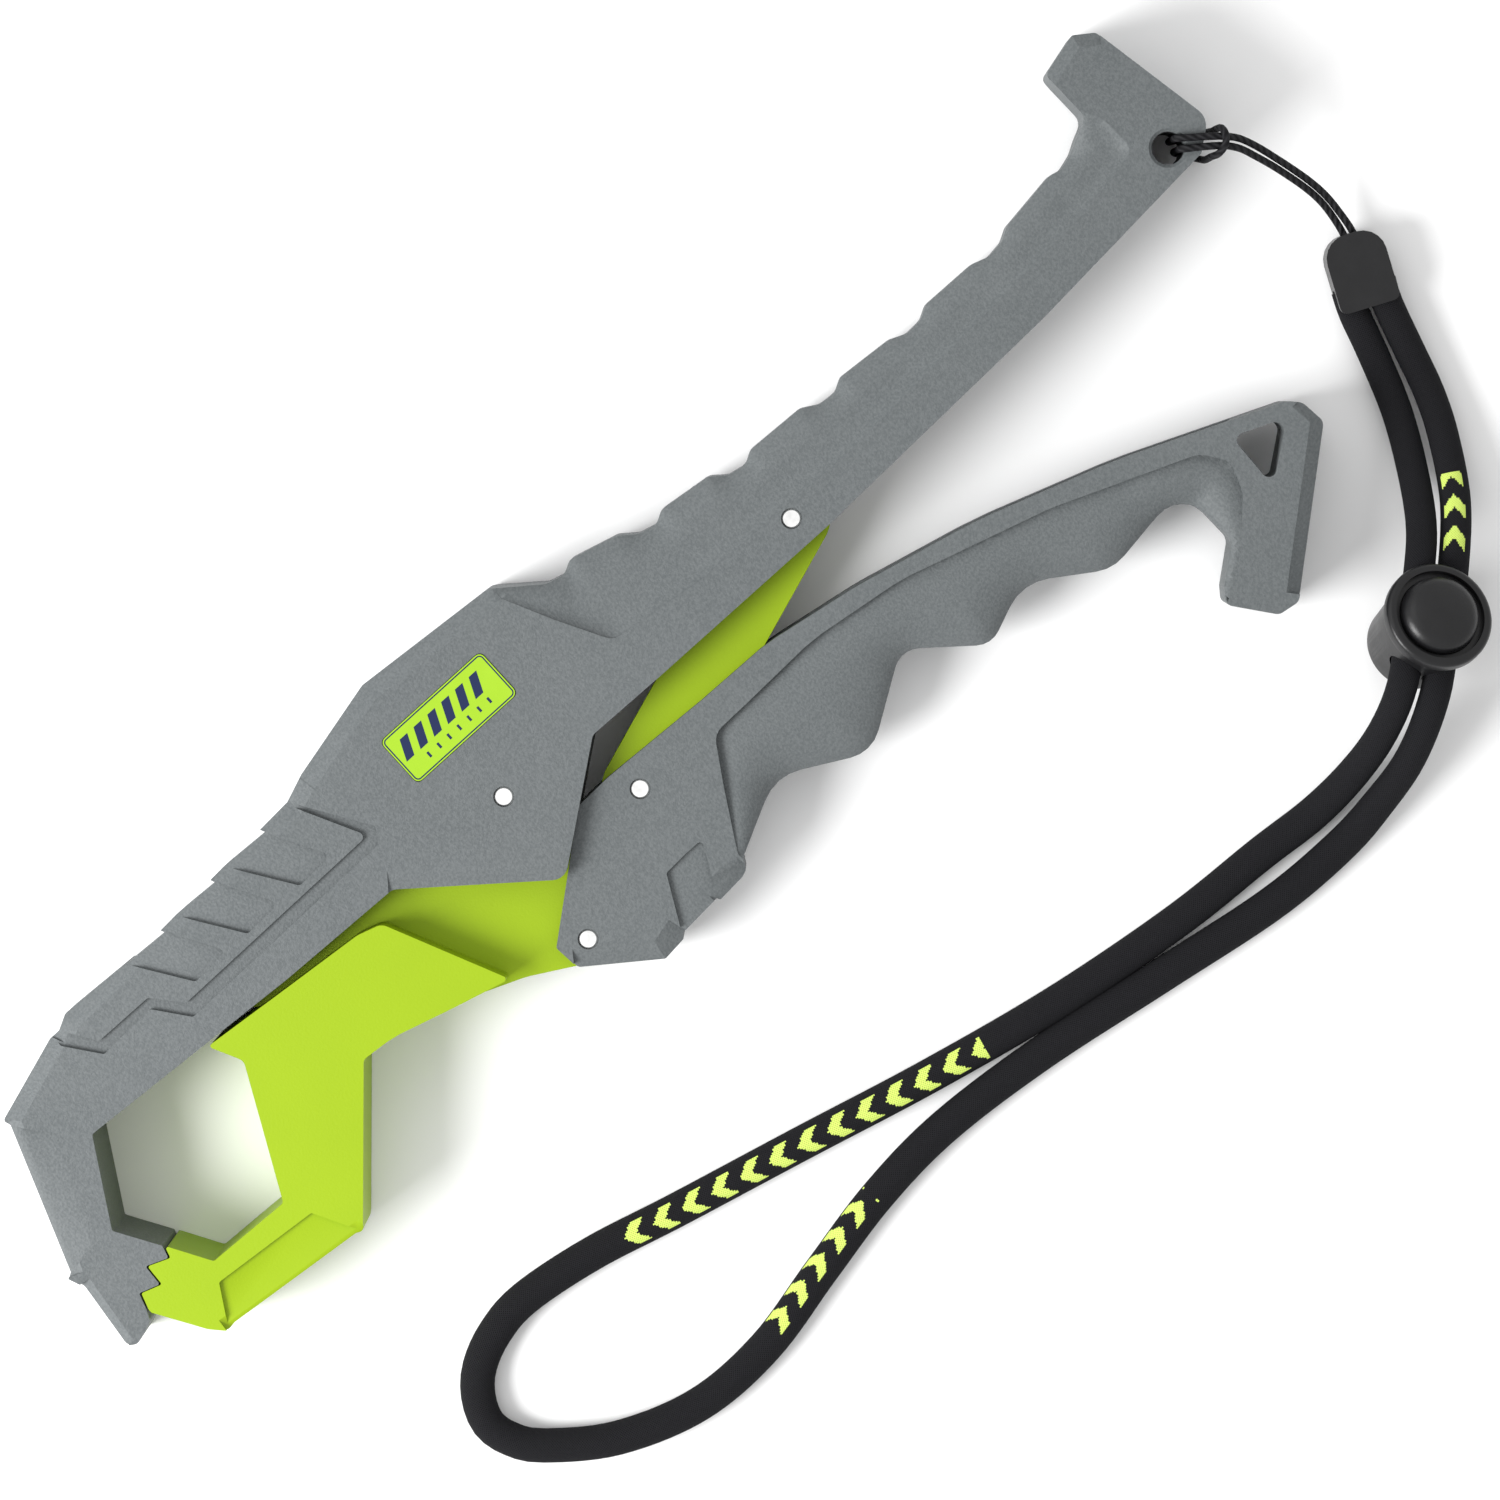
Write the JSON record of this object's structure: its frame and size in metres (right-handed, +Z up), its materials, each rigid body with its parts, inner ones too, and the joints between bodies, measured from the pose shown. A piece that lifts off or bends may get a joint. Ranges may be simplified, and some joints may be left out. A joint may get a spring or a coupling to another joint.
{
  "type": "fishing lip grip",
  "caption": "Flat fishing lip grip: hooked frame, toggle-linked jaw opened by squeezing a finger-shaped trigger, and a corded wrist loop with a push-button lock.",
  "frame": {"origin": "centre of the tool's body (lanyard left out), on the surface it lies on", "axes": "+X runs along the tool from the jaws to the end of the handle, +Y across it towards the back of the handle, +Z up out of the face with the badge"},
  "size_m": [0.2608, 0.1292, 0.0203],
  "materials": {
    "grey_moulding": "fine-textured grey glass-filled moulding",
    "lime_moulding": "semi-gloss lime moulding",
    "pin_steel": "turned pin ends",
    "spring_steel": "drawn spring wire",
    "badge_film": null,
    "black_plastic": "satin black moulding",
    "black_cord": "round woven cord",
    "tether_cord": "thin twisted line"
  },
  "bodies": {
    "frame": {"hook_frame": "grey_moulding", "jaw_pin": "pin_steel", "handle_pin": "pin_steel", "badge": "badge_film", "tether_cord": "tether_cord", "coupler_front": "black_plastic", "coupler_back": "black_plastic", "wrist_cord": "black_cord", "lock_barrel": "black_plastic", "lock_spring": "spring_steel"},
    "jaw": {"moving_jaw": "lime_moulding", "jaw_spring": "spring_steel"},
    "trigger": {"trigger": "grey_moulding", "trigger_pin": "pin_steel", "link_pin": "pin_steel"},
    "link": {"toggle_link": "lime_moulding"},
    "button": {"lock_button": "black_plastic"}
  },
  "joints": [
    {"name": "jaw_hinge", "type": "hinge", "parent": "frame", "child": "jaw", "pos_m": [-0.02413, 0.01902, 0.009], "axis": [0, 0, 1], "range_deg": [0, 3.8], "stiffness_Nm_per_rad": 1.5, "springref_deg": -1.15},
    {"name": "trigger_hinge", "type": "hinge", "parent": "jaw", "child": "trigger", "pos_m": [-0.03083, -0.00609, 0.009], "axis": [0, 0, 1], "range_deg": [0, 7.5]},
    {"name": "link_hinge", "type": "hinge", "parent": "frame", "child": "link", "pos_m": [0.03807, 0.01801, 0.009], "axis": [0, 0, -1], "range_deg": [0, 4.7]},
    {"name": "button_slide", "type": "slide", "parent": "frame", "child": "button", "axis": [-0.4405, -0.1098, -0.891], "range_m": [0, 0.0024], "stiffness_N_per_m": 300, "deforming": ["lock_spring"]}
  ],
  "couplings": [
    {"joint": "jaw_hinge", "follows": "trigger_hinge", "ratio": 0.49432},
    {"joint": "link_hinge", "follows": "trigger_hinge", "ratio": 0.61234}
  ]
}
